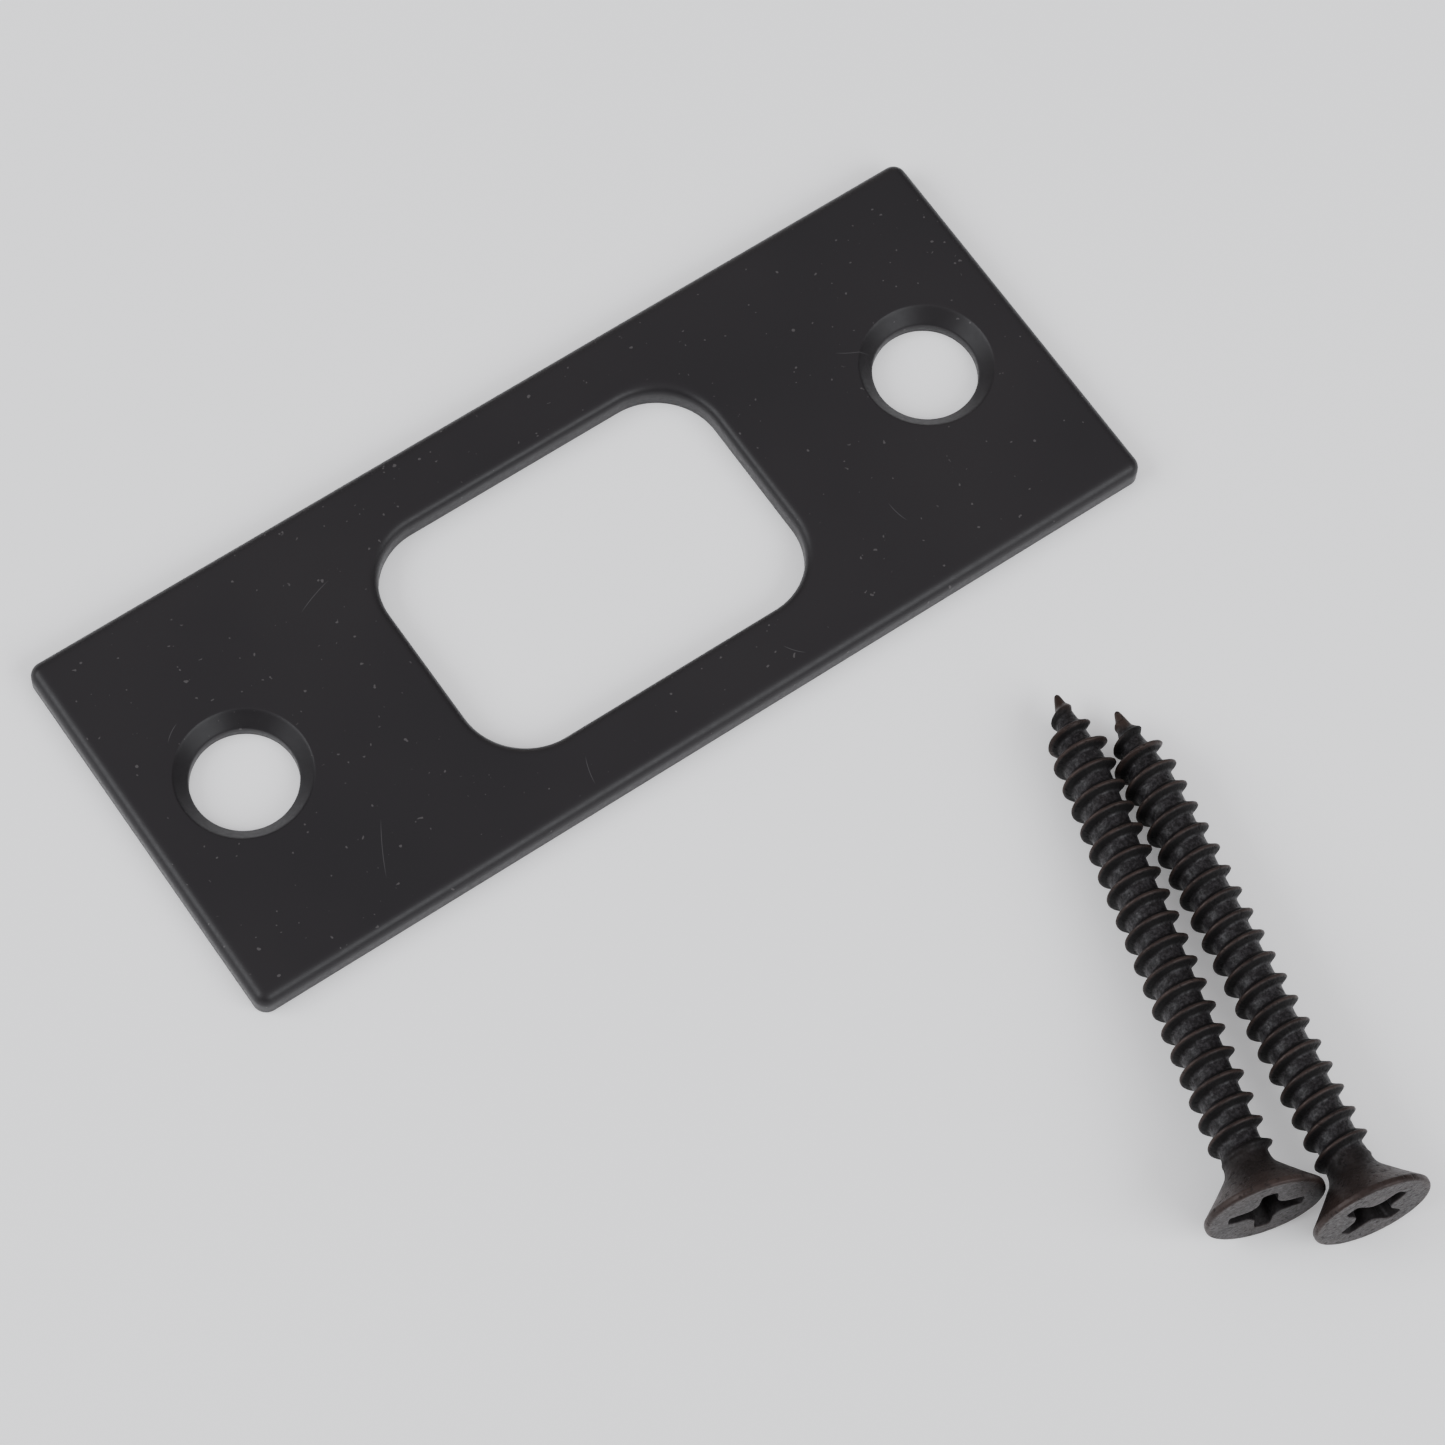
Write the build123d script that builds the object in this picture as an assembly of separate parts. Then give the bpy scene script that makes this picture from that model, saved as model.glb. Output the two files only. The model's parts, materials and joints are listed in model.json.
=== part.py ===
from build123d import *
import math
import os

# Deadbolt strike plate and the two flat-head wood screws that fix it to a door jamb.
# Millimetres, +Z up. The plate lies face up with its back on z = 0, and the origin is the
# centre of its back. X runs along the plate. The screws lie beside it on the same surface.

# Plate
PLATE_LENGTH = 69.85
PLATE_WIDTH = 28.575
PLATE_THICKNESS = 1.9
PLATE_CORNER_R = 0.95
PLATE_EDGE_R = 0.85

# Opening that the deadbolt passes through
OPENING_LENGTH = 26.0
OPENING_WIDTH = 18.4
OPENING_CORNER_R = 4.7
OPENING_EDGE_R = 0.7

# Screw head and neck
SCREW_LENGTH = 38.1
HEAD_R = 4.0
HEAD_RIM = 0.42
HEAD_RIM_ROUND = 0.2
HEAD_ANGLE = 90.0
NECK_SWELL = 0.15
NECK_LENGTH = 1.0
NECK_BLEND_R = 1.4

# Thread, rolled on a straight core that narrows to a gimlet point
CORE_R = 1.4
THREAD_HEIGHT = 0.6
THREAD_PITCH = 1.65
THREAD_ROOT_WIDTH = 0.8
THREAD_CREST_WIDTH = 0.14
THREAD_SINK = 0.06
THREAD_RUNOUT = 0.95
THREAD_TO_HEAD = 0.35
POINT_LENGTH = 5.2
POINT_TIP_R = 0.13
POINT_BARE = 1.3
POINT_THREAD_HEIGHT = 0.3
POINT_THREAD_FULL = 3.9

# Cross recess in the head
RECESS_REACH = 2.5
RECESS_DEPTH = 2.2
RECESS_FOOT_R = 1.1
RECESS_WING_WIDTH = 1.15
RECESS_CORE_R = 1.2
RECESS_TIP_DEPTH = 0.52

# Screw holes, countersunk to the head's angle: how much of the head's rim stands over the hole
# and how much wider than the head the countersink is, on the radius
HOLE_FROM_END = 7.775
HEAD_SEAT = 0.4
COUNTERSINK_CLEARANCE = 0.6

# The left screw: its point, the way it is turned from +X, and how far its thread and its recess
# are turned about its own axis from upright
LEFT_POINT_X = 19.97
POINT_TO_PLATE = 10.32
LEFT_HEADING = 73.55
LEFT_THREAD_TURN = 63.7
LEFT_RECESS_TURN = 0.0

# The right screw lies against the left one: its face stands back from the left head's rim, the
# rim clears its cone, and near the points each thread's crest clears the other screw's core
HEAD_STAGGER = 2.344
RIM_GAP = 0.09
THREAD_GAP = 0.06
RIGHT_RECESS_TURN = 45.0

THREAD_R = CORE_R + THREAD_HEIGHT
NECK_R = CORE_R + NECK_SWELL
HOLE_R = HEAD_R - HEAD_SEAT
COUNTERSINK_R = HEAD_R + COUNTERSINK_CLEARANCE
HANGING = (Align.CENTER, Align.CENTER, Align.MAX)


def half_tangent(angle):
    """Slope of a cone's side from its axis, from the full angle of the cone."""
    return math.tan(math.radians(angle / 2))


def plate_blank():
    """A flat plate with round corners, rolled over along the edge of its face."""
    blank = extrude(RectangleRounded(PLATE_LENGTH, PLATE_WIDTH, PLATE_CORNER_R), PLATE_THICKNESS)
    rim = blank.faces().sort_by(Axis.Z)[-1].edges()
    return fillet(rim, PLATE_EDGE_R)


def with_opening(blank):
    """The plate with the bolt's opening, rolled over along the same face."""
    opening = extrude(
        RectangleRounded(OPENING_LENGTH, OPENING_WIDTH, OPENING_CORNER_R),
        PLATE_THICKNESS,
    )
    plate = blank - opening
    face = plate.faces().sort_by(Axis.Z)[-1]
    return fillet(face.inner_wires()[0].edges(), OPENING_EDGE_R)


def screw_hole(x):
    """The material that one screw hole and its countersink take away."""
    seat = PLATE_THICKNESS - (COUNTERSINK_R - HOLE_R) / half_tangent(HEAD_ANGLE)
    profile = Polyline(
        (0, 0),
        (HOLE_R, 0),
        (HOLE_R, seat),
        (COUNTERSINK_R, PLATE_THICKNESS),
        (0, PLATE_THICKNESS),
        close=True,
    )
    return Pos(x, 0, 0) * revolve(make_face(Plane.XZ * profile), Axis.Z)


def strike_plate():
    """The finished plate, with a screw hole at each end."""
    plate = with_opening(plate_blank())
    hole_x = PLATE_LENGTH / 2 - HOLE_FROM_END
    return plate - screw_hole(-hole_x) - screw_hole(hole_x)


def neck_end():
    """Height along the screw, from its point, at which the head's cone begins."""
    return SCREW_LENGTH - HEAD_RIM - (HEAD_R - NECK_R) / half_tangent(HEAD_ANGLE)


def core_radius(height):
    """Radius of the bare core at a height above the point."""
    share = min(height / POINT_LENGTH, 1.0)
    return POINT_TIP_R + (CORE_R - POINT_TIP_R) * share


def screw_blank():
    """The screw before its thread is rolled: point, core, neck, cone and flat face."""
    neck = neck_end()
    profile = Polyline(
        (0, 0),
        (POINT_TIP_R, 0),
        (CORE_R, POINT_LENGTH),
        (CORE_R, neck - NECK_LENGTH),
        (NECK_R, neck),
        (HEAD_R, SCREW_LENGTH - HEAD_RIM),
        (HEAD_R, SCREW_LENGTH),
        (0, SCREW_LENGTH),
        close=True,
    )
    blank = revolve(make_face(Plane.XZ * profile), Axis.Z)
    rings = blank.edges().filter_by(GeomType.CIRCLE)
    under_head = [ring for ring in rings if abs(ring.center().Z - neck) < HEAD_RIM / 2]
    blank = fillet(under_head, NECK_BLEND_R)
    rings = blank.edges().filter_by(GeomType.CIRCLE)
    rim = [ring for ring in rings if ring.radius > HEAD_R - HEAD_RIM_ROUND]
    return fillet(rim, HEAD_RIM_ROUND)


def helix(start, rise, radius_from, radius_to):
    """One edge line of the thread, winding up the screw from a height."""
    cone = math.degrees(math.atan2(radius_to - radius_from, rise))
    slant = THREAD_PITCH / math.cos(math.radians(cone))
    return Pos(0, 0, start) * Edge.make_helix(slant, rise, radius_from, angle=cone)


def thread_lines(low, high):
    """The four edge lines of the thread between two stations of height, root and crest."""
    start, root_from, crest_from = low
    end, root_to, crest_to = high
    rise = end - start
    root = THREAD_ROOT_WIDTH / 2
    crest = THREAD_CREST_WIDTH / 2
    lines = [
        helix(start - root, rise, root_from, root_to),
        helix(start - crest, rise, crest_from, crest_to),
        helix(start + crest, rise, crest_from, crest_to),
        helix(start + root, rise, root_from, root_to),
    ]
    return [Rot(0, 0, 360 * start / THREAD_PITCH) * line for line in lines]


def thread_stations(low, high):
    """Stations about a turn apart, evenly spread from one station up to the next."""
    turns = math.ceil((high[0] - low[0]) / THREAD_PITCH)
    shares = [turn / turns for turn in range(turns)]
    return [tuple(a + (b - a) * share for a, b in zip(low, high)) for share in shares]


def screw_thread():
    """The thread: it grows up the point, runs full along the core and dies out at the neck."""
    bare = core_radius(POINT_BARE)
    root = CORE_R - THREAD_SINK
    top = neck_end() - THREAD_TO_HEAD
    marks = [
        (POINT_BARE, bare - THREAD_SINK, bare + POINT_THREAD_HEIGHT),
        (POINT_THREAD_FULL, core_radius(POINT_THREAD_FULL) - THREAD_SINK, THREAD_R),
        (POINT_LENGTH, root, THREAD_R),
        (top - THREAD_RUNOUT, root, THREAD_R),
        (top, root, CORE_R),
    ]
    stations = [station for low, high in zip(marks, marks[1:]) for station in thread_stations(low, high)]
    stations.append(marks[-1])
    turns = [thread_lines(low, high) for low, high in zip(stations, stations[1:])]
    skin = []
    for lines in turns:
        pairs = zip(lines, lines[1:] + lines[:1])
        skin += [Face.make_surface_from_curves(line, beside) for line, beside in pairs]
    foot = Face(Wire.make_polygon([line @ 0 for line in turns[0]], close=True))
    head = Face(Wire.make_polygon([line @ 1 for line in turns[-1]], close=True))
    return Solid(Shell(skin + [foot, head]))


def cross_recess():
    """The cross that the driver fits: four tapered wings and a round core with a point."""
    envelope = Cone(RECESS_FOOT_R, RECESS_REACH, RECESS_DEPTH, align=HANGING)
    wing = Box(RECESS_REACH * 2, RECESS_WING_WIDTH, RECESS_DEPTH, align=HANGING)
    cross = (wing + Rot(0, 0, 90) * wing) & envelope
    core = Cylinder(RECESS_CORE_R, RECESS_DEPTH, align=HANGING)
    tip = Pos(0, 0, -RECESS_DEPTH) * Cone(0, RECESS_CORE_R, RECESS_TIP_DEPTH, align=HANGING)
    return Pos(0, 0, SCREW_LENGTH) * (cross + core + tip)


def threaded_blank():
    """The screw with its thread rolled on, along +Z with its point at the origin."""
    return screw_blank() + screw_thread()


def wood_screw(blank, thread_turn, recess_turn):
    """A threaded blank turned about its axis, with the cross punched into its face."""
    return Rot(0, 0, thread_turn) * blank - Rot(0, 0, recess_turn) * cross_recess()


def resting_tilt():
    """Tilt of a screw that rests on the rim of its head and the first full turn of thread."""
    span = SCREW_LENGTH - HEAD_RIM - POINT_THREAD_FULL
    return math.atan2(HEAD_R - THREAD_R, span)


def laid_down(screw, place):
    """The screw lying on the surface, with its face over a place and its point along its X."""
    tilt = resting_tilt()
    height = HEAD_R * math.cos(tilt) + HEAD_RIM * math.sin(tilt)
    lean = Pos(0, 0, height) * Rot(0, math.degrees(tilt) - 90, 0)
    return place * lean * Pos(0, 0, -SCREW_LENGTH) * screw


def left_place():
    """The place of the left screw's face, with X along the surface towards its point."""
    point = Pos(LEFT_POINT_X, -PLATE_WIDTH / 2 - POINT_TO_PLATE, 0)
    run = SCREW_LENGTH * math.cos(resting_tilt())
    return point * Rot(0, 0, LEFT_HEADING) * Pos(-run, 0, 0)


def rim_side():
    """How far the left head's rim stands beside the right screw's axis."""
    depth = HEAD_STAGGER / math.cos(resting_tilt()) - HEAD_RIM
    return max(HEAD_R - depth * half_tangent(HEAD_ANGLE), NECK_R) + RIM_GAP


def converging_angle():
    """Angle between the screws, which meet at the left head's rim and again at the threads."""
    thread_run = (SCREW_LENGTH - POINT_THREAD_FULL) * math.cos(resting_tilt())
    thread_side = THREAD_R + CORE_R + THREAD_GAP
    reach = math.hypot(HEAD_R, thread_run)
    return math.acos((thread_side - rim_side()) / reach) - math.atan2(thread_run, HEAD_R)


def left_head_ahead():
    """How far the left screw's face is ahead of the right one's, along the right screw."""
    return HEAD_STAGGER + HEAD_R * math.sin(converging_angle())


def right_place():
    """The place of the right screw's face, beside and behind the left one's."""
    angle = converging_angle()
    side = rim_side() + HEAD_R * math.cos(angle)
    return left_place() * Rot(0, 0, math.degrees(angle)) * Pos(-left_head_ahead(), -side, 0)


def meshed_turn():
    """Turn of the right thread that sets its crests midway between the left screw's."""
    lean = math.cos(resting_tilt())
    thread_run = (SCREW_LENGTH - POINT_THREAD_FULL) * lean
    ahead = left_head_ahead() + thread_run * math.cos(converging_angle())
    height = SCREW_LENGTH - ahead / lean
    return (LEFT_THREAD_TURN + 360 * (POINT_THREAD_FULL - height) / THREAD_PITCH) % 360


def main():
    os.makedirs("parts", exist_ok=True)
    blank = threaded_blank()
    left = wood_screw(blank, LEFT_THREAD_TURN, LEFT_RECESS_TURN)
    right = wood_screw(blank, meshed_turn(), RIGHT_RECESS_TURN)
    nodes = {
        "strike_plate": strike_plate(),
        "wood_screw_left": laid_down(left, left_place()),
        "wood_screw_right": laid_down(right, right_place()),
    }
    for name, piece in nodes.items():
        export_step(piece, f"parts/{name}.step")
        print(name, len(piece.solids()), round(piece.volume, 1))
    print("right screw", right_place(), "thread turn", round(meshed_turn(), 2))


main()
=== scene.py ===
# %% [markdown]
# # A deadbolt strike plate and its two wood screws
#
# The real object is a thin steel plate, stamped and pressed, then coated satin black, and two
# flat-head wood screws plated dark bronze. Nothing is soft and nothing is hidden, so all the
# work is in clean edges, a true helical thread and honest metal finishes. The frame that is
# loaded here holds the sizes and places, and every piece below is built to fit it.

# %% Load the frame
import bpy
import bmesh
import json
import math
from mathutils import Matrix, Vector


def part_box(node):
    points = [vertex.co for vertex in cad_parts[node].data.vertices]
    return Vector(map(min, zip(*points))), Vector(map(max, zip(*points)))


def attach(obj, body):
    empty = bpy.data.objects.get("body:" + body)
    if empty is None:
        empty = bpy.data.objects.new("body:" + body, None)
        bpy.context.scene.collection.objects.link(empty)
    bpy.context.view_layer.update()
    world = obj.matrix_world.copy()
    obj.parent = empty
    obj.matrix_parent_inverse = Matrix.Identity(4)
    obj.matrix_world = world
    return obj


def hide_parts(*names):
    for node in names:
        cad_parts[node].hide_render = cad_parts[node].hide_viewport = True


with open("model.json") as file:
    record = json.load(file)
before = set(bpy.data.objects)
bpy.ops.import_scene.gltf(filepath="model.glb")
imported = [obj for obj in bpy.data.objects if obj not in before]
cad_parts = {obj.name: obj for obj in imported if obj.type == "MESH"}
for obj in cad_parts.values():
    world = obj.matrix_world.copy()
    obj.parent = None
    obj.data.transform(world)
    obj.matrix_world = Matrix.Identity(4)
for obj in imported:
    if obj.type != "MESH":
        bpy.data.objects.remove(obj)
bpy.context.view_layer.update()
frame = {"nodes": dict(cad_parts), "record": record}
MM = 0.001
print("nodes:", sorted(frame["nodes"]))

# %% [markdown]
# ## Seat and camera
#
# The plate is small, so it is seen from a third of a metre away through a long lens. A long lens
# keeps the plate's long edges almost parallel. The camera could be aimed with a constraint, but
# four plain numbers and a roll are easier to read: where it aims, from which side, how high up
# and how far away.

# %% Camera
AIM = Vector((1.178, -13.514, 0.0)) * MM
CAMERA_HEADING = math.radians(50.702)
CAMERA_HEIGHT_ANGLE = math.radians(65.334)
CAMERA_ROLL = math.radians(5.125)
CAMERA_DISTANCE = 326.93 * MM
LENS = 124.41
SENSOR = 36.0


def look_along(heading, height_angle):
    """Unit vector of sight for a camera that looks down at the table."""
    level = math.cos(height_angle)
    return Vector((math.cos(heading) * level, math.sin(heading) * level, -math.sin(height_angle)))


def add_camera():
    sight = look_along(CAMERA_HEADING, CAMERA_HEIGHT_ANGLE)
    data = bpy.data.cameras.new("camera")
    data.lens = LENS
    data.sensor_width = SENSOR
    data.clip_start = 0.01
    data.clip_end = 10.0
    camera = bpy.data.objects.new("camera", data)
    bpy.context.scene.collection.objects.link(camera)
    right = sight.cross(Vector((0, 0, 1))).normalized()
    above = right.cross(sight)
    turned_right = right * math.cos(CAMERA_ROLL) + above * math.sin(CAMERA_ROLL)
    turned_above = above * math.cos(CAMERA_ROLL) - right * math.sin(CAMERA_ROLL)
    axes = Matrix((turned_right, turned_above, -sight)).transposed()
    place = AIM - sight * CAMERA_DISTANCE
    camera.matrix_world = Matrix.Translation(place) @ axes.to_4x4()
    bpy.context.scene.camera = camera
    return camera


camera = add_camera()
print("camera at mm:", [round(value / MM, 1) for value in camera.matrix_world.translation])

# %% [markdown]
# ## Floor and light
#
# Black metal is only its reflections: a satin black plate under one lamp is a black hole with a
# hot spot. So two broad soft panels stand to the camera's left and near right, in a room that is
# dim near the ground and brighter overhead. The shoulders of the rolled edges mirror the panels
# as a soft pale band, the far walls of the holes mirror the dim ground level and go nearly black,
# and the flat face, which mirrors the ceiling, stays an even charcoal. A third panel, small, warm
# and weak, stands low on the far side. A bare floor would look grey under so little light, so the
# paper glows faintly by itself.

# %% Floor, room and panels
FLOOR_SIZE = 3.0
PAPER = (0.93, 0.93, 0.93, 1)
PAPER_GLOW = 0.2
ROOM_STRENGTH = 1.35
DIM_BELOW = 0.35
DIM_GREY = (0.1, 0.1, 0.1, 1)
BRIGHT_ABOVE = 0.85
BRIGHT_GREY = (0.62, 0.6, 0.63, 1)


def add_floor():
    bm = bmesh.new()
    bmesh.ops.create_grid(bm, x_segments=2, y_segments=2, size=FLOOR_SIZE / 2)
    mesh = bpy.data.meshes.new("floor")
    bm.to_mesh(mesh)
    bm.free()
    floor = bpy.data.objects.new("floor", mesh)
    bpy.context.scene.collection.objects.link(floor)
    material = bpy.data.materials.new("pale_paper")
    material.use_nodes = True
    shader = material.node_tree.nodes["Principled BSDF"]
    shader.inputs["Base Color"].default_value = PAPER
    shader.inputs["Roughness"].default_value = 0.9
    shader.inputs["Specular IOR Level"].default_value = 0.1
    shader.inputs["Emission Color"].default_value = (1, 1, 1, 1)
    shader.inputs["Emission Strength"].default_value = PAPER_GLOW
    mesh.materials.append(material)


def add_room():
    world = bpy.data.worlds.new("room")
    bpy.context.scene.world = world
    world.use_nodes = True
    nodes = world.node_tree.nodes
    links = world.node_tree.links
    back = nodes["Background"]
    back.inputs["Strength"].default_value = ROOM_STRENGTH
    where = nodes.new("ShaderNodeTexCoord")
    split = nodes.new("ShaderNodeSeparateXYZ")
    shade = nodes.new("ShaderNodeValToRGB")
    links.new(where.outputs["Generated"], split.inputs[0])
    links.new(split.outputs["Z"], shade.inputs[0])
    links.new(shade.outputs["Color"], back.inputs["Color"])
    low, high = shade.color_ramp.elements
    low.position = DIM_BELOW
    low.color = DIM_GREY
    high.position = BRIGHT_ABOVE
    high.color = BRIGHT_GREY


def add_panel(name, heading, height_angle, distance, width, height, power, colour):
    """A soft rectangular lamp. Its light travels along the heading and down by the height angle."""
    sight = look_along(math.radians(heading), math.radians(height_angle))
    data = bpy.data.lights.new(name, "AREA")
    data.shape = "RECTANGLE"
    data.size = width
    data.size_y = height
    data.energy = power
    data.color = colour
    lamp = bpy.data.objects.new(name, data)
    bpy.context.scene.collection.objects.link(lamp)
    facing = sight.to_track_quat("-Z", "Y").to_matrix().to_4x4()
    lamp.matrix_world = Matrix.Translation(AIM - sight * distance) @ facing
    return lamp


add_floor()
add_room()
right_panel = add_panel("right_panel", 112, 33, 1.0, 0.9, 0.55, 9.0, (0.94, 0.97, 1.0))
left_panel = add_panel("left_panel", -24, 33, 1.0, 0.9, 0.55, 9.0, (0.94, 0.97, 1.0))
far_panel = add_panel("far_panel", -125, 18, 1.2, 0.6, 0.15, 0.8, (1.0, 0.92, 0.82))
print("lights:", [lamp.name for lamp in (right_panel, left_panel, far_panel)])

# %% [markdown]
# ## The plate's shape
#
# On the real plate the punch rolls the edge of the face over, both round the outside and round
# the bolt opening, while the back edge stays crisp. It could be made with a bevel on a cut block,
# but the shading of a bevel on one big flat face goes wrong where triangles stretch across it.
# Here each boundary is a stack of rings that step round the roll, with one spare ring out on the
# flat, so that the flat face is truly flat and the roll is truly round.

# %% Plate sizes
plate_low, plate_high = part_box("strike_plate")
LENGTH = plate_high.x - plate_low.x
WIDTH = plate_high.y - plate_low.y
THICKNESS = plate_high.z - plate_low.z
CORNER_R = 0.95 * MM
EDGE_R = 0.85 * MM
OPENING_LENGTH = 26.0 * MM
OPENING_WIDTH = 18.4 * MM
OPENING_CORNER_R = 4.7 * MM
OPENING_EDGE_R = 0.7 * MM
screw_holes = next(m for m in frame["record"]["mounts"] if m["name"] == "screw_holes")
HOLE_R = screw_holes["dims"]["hole_r_mm"] * MM
HOLE_SPACING = screw_holes["dims"]["spacing_x_mm"] * MM
SINK_R = 4.6 * MM
SINK_SLOPE = math.tan(math.radians(45))
BACK_BREAK = 0.06 * MM
SINK_LIP = 0.05 * MM
CUTTER_GROOVES = 9
GROOVE_DEPTH = 0.3 * SINK_LIP
print("plate in mm:", round(LENGTH / MM, 2), round(WIDTH / MM, 2), round(THICKNESS / MM, 2))

# %% Ring outlines
CORNER_STEPS = 24
ROUND_STEPS = 160


def rounded_rectangle(length, width, radius):
    """Points round a rectangle with round corners, anticlockwise from above."""
    points = []
    for corner in range(4):
        side_x = 1 if corner in (0, 3) else -1
        side_y = 1 if corner in (0, 1) else -1
        centre = Vector((side_x * (length / 2 - radius), side_y * (width / 2 - radius)))
        for step in range(CORNER_STEPS + 1):
            angle = math.pi / 2 * (corner + step / CORNER_STEPS)
            points.append(centre + radius * Vector((math.cos(angle), math.sin(angle))))
    return points


def circle(centre_x, radius):
    """Points round a circle on the plate's long axis."""
    turn = 2 * math.pi / ROUND_STEPS
    return [
        Vector((centre_x + radius * math.cos(step * turn), radius * math.sin(step * turn)))
        for step in range(ROUND_STEPS)
    ]


def add_ring(bm, outline, height):
    return [bm.verts.new((point.x, point.y, height)) for point in outline]


def join_rings(bm, rings, outward):
    """Walls between rings that are stacked in order, facing out of the metal."""
    for low, high in zip(rings, rings[1:]):
        count = len(low)
        for i in range(count):
            j = (i + 1) % count
            corners = (low[i], low[j], high[j], high[i])
            bm.faces.new(corners if outward else corners[::-1])


def cap(bm, rings, facing_up):
    """One flat face between an outer ring and the rings of the holes inside it."""
    edges = []
    for ring in rings:
        count = len(ring)
        edges += [bm.edges.get((ring[i], ring[(i + 1) % count])) for i in range(count)]
    made = bmesh.ops.triangle_fill(bm, use_beauty=True, use_dissolve=False, edges=edges)
    for face in (item for item in made["geom"] if isinstance(item, bmesh.types.BMFace)):
        face.normal_update()
        if (face.normal.z > 0) != facing_up:
            face.normal_flip()


print("ring points:", 4 * (CORNER_STEPS + 1), ROUND_STEPS)

# %% Plate mesh
ROLL_STEPS = 10
FLAT_MARGIN = 0.25 * MM
CRISP_EDGE = math.radians(50)


def rolled_wall(length, width, corner_r, edge_r, side):
    """Outlines and heights from the back, up the wall and over the rolled edge.

    side is 1 for the outside, where the roll pulls the outline in, and -1 for the opening.
    """
    steps = [(BACK_BREAK, 0.0), (0.0, BACK_BREAK)]
    for step in range(ROLL_STEPS + 1):
        angle = math.pi / 2 * step / ROLL_STEPS
        inset = edge_r * (1 - math.cos(angle))
        steps.append((inset, THICKNESS - edge_r + edge_r * math.sin(angle)))
    steps.append((edge_r + FLAT_MARGIN, THICKNESS))
    walls = []
    for inset, height in steps:
        pull = inset * side
        radius = max(corner_r - pull, FLAT_MARGIN / 10)
        walls.append((rounded_rectangle(length - 2 * pull, width - 2 * pull, radius), height))
    return walls


def countersink(centre_x):
    """Outlines and heights from the back, up the land, up the cone and over its lip.

    The cutter leaves fine rings on the cone, alternately a little proud and a little deep.
    """
    seat = THICKNESS - (SINK_R - HOLE_R) / SINK_SLOPE
    profile = [
        (HOLE_R + BACK_BREAK, 0.0),
        (HOLE_R, BACK_BREAK),
        (HOLE_R, seat - SINK_LIP),
        (HOLE_R + SINK_LIP * 0.4, seat),
    ]
    for cut in range(CUTTER_GROOVES):
        share = (cut + 1) / (CUTTER_GROOVES + 1)
        groove = GROOVE_DEPTH if cut % 2 else -GROOVE_DEPTH
        radius = HOLE_R + (SINK_R - HOLE_R) * share + groove
        profile.append((radius, seat + (THICKNESS - seat) * share))
    profile += [
        (SINK_R - SINK_LIP * 0.3, THICKNESS - SINK_LIP * 0.6),
        (SINK_R + SINK_LIP * 0.3, THICKNESS - SINK_LIP * 0.1),
        (SINK_R + SINK_LIP * 1.4, THICKNESS),
        (SINK_R + FLAT_MARGIN, THICKNESS),
    ]
    return [(circle(centre_x, radius), height) for radius, height in profile]


def make_plate():
    bm = bmesh.new()
    walls = [
        (rolled_wall(LENGTH, WIDTH, CORNER_R, EDGE_R, 1), True),
        (rolled_wall(OPENING_LENGTH, OPENING_WIDTH, OPENING_CORNER_R, OPENING_EDGE_R, -1), False),
        (countersink(-HOLE_SPACING / 2), False),
        (countersink(HOLE_SPACING / 2), False),
    ]
    tops, backs = [], []
    for outlines, outward in walls:
        rings = [add_ring(bm, outline, height) for outline, height in outlines]
        join_rings(bm, rings, outward)
        backs.append(rings[0])
        tops.append(rings[-1])
    cap(bm, tops, True)
    cap(bm, backs, False)
    for face in bm.faces:
        face.smooth = True
    for edge in bm.edges:
        if edge.is_manifold and edge.calc_face_angle(0) > CRISP_EDGE:
            edge.smooth = False
    mesh = bpy.data.meshes.new("plate_body")
    bm.to_mesh(mesh)
    bm.free()
    plate = bpy.data.objects.new("plate_body", mesh)
    bpy.context.scene.collection.objects.link(plate)
    return plate


plate = make_plate()
print("plate faces:", len(plate.data.polygons))

# %% [markdown]
# ## The plate's finish
#
# The coat is thin satin black over steel. Its colour is nearly even, with faint cloudy patches
# where it was handled, pinprick dust and a few hairline scratches. A texture could be painted by
# hand and laid over the face, but it would blur close up and repeat. Noise at several sizes does
# the same job at any distance, and only the hairlines are placed one by one.

# %% Node helpers


def new_material(name):
    material = bpy.data.materials.new(name)
    material.use_nodes = True
    tree = material.node_tree
    return material, tree, tree.nodes["Principled BSDF"]


def add_node(tree, kind, settings=None, **inputs):
    """A node with some settings and inputs: a plain value, or a socket to link from.

    An input is given by its name, or by its number after an i where names repeat.
    """
    node = tree.nodes.new(kind)
    for key, value in (settings or {}).items():
        setattr(node, key, value)
    for key, value in inputs.items():
        numbered = key[0] == "i" and key[1:].isdigit()
        socket = node.inputs[int(key[1:]) if numbered else key]
        if isinstance(value, bpy.types.NodeSocket):
            tree.links.new(value, socket)
        else:
            socket.default_value = value
    return node


def noise(tree, where, scale, detail=3.0, roughness=0.5):
    node = add_node(tree, "ShaderNodeTexNoise", Vector=where, Scale=scale, Detail=detail)
    node.inputs["Roughness"].default_value = roughness
    return node.outputs["Fac"]


def spread(tree, value, low, high, to_low=0.0, to_high=1.0):
    """Maps a value from one range to another, and clips it there."""
    node = add_node(tree, "ShaderNodeMapRange", i0=value, i1=low, i2=high, i3=to_low, i4=to_high)
    return node.outputs[0]


def blend_colours(tree, share, first, second):
    node = add_node(tree, "ShaderNodeMix", {"data_type": "RGBA"}, i0=share, i6=first, i7=second)
    return node.outputs[2]


def sum_of(tree, *values):
    total = values[0]
    for value in values[1:]:
        node = add_node(tree, "ShaderNodeMath", {"operation": "ADD"}, i0=total, i1=value)
        total = node.outputs[0]
    return total


def times(tree, value, factor):
    node = add_node(tree, "ShaderNodeMath", {"operation": "MULTIPLY"}, i0=value, i1=factor)
    return node.outputs[0]


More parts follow.
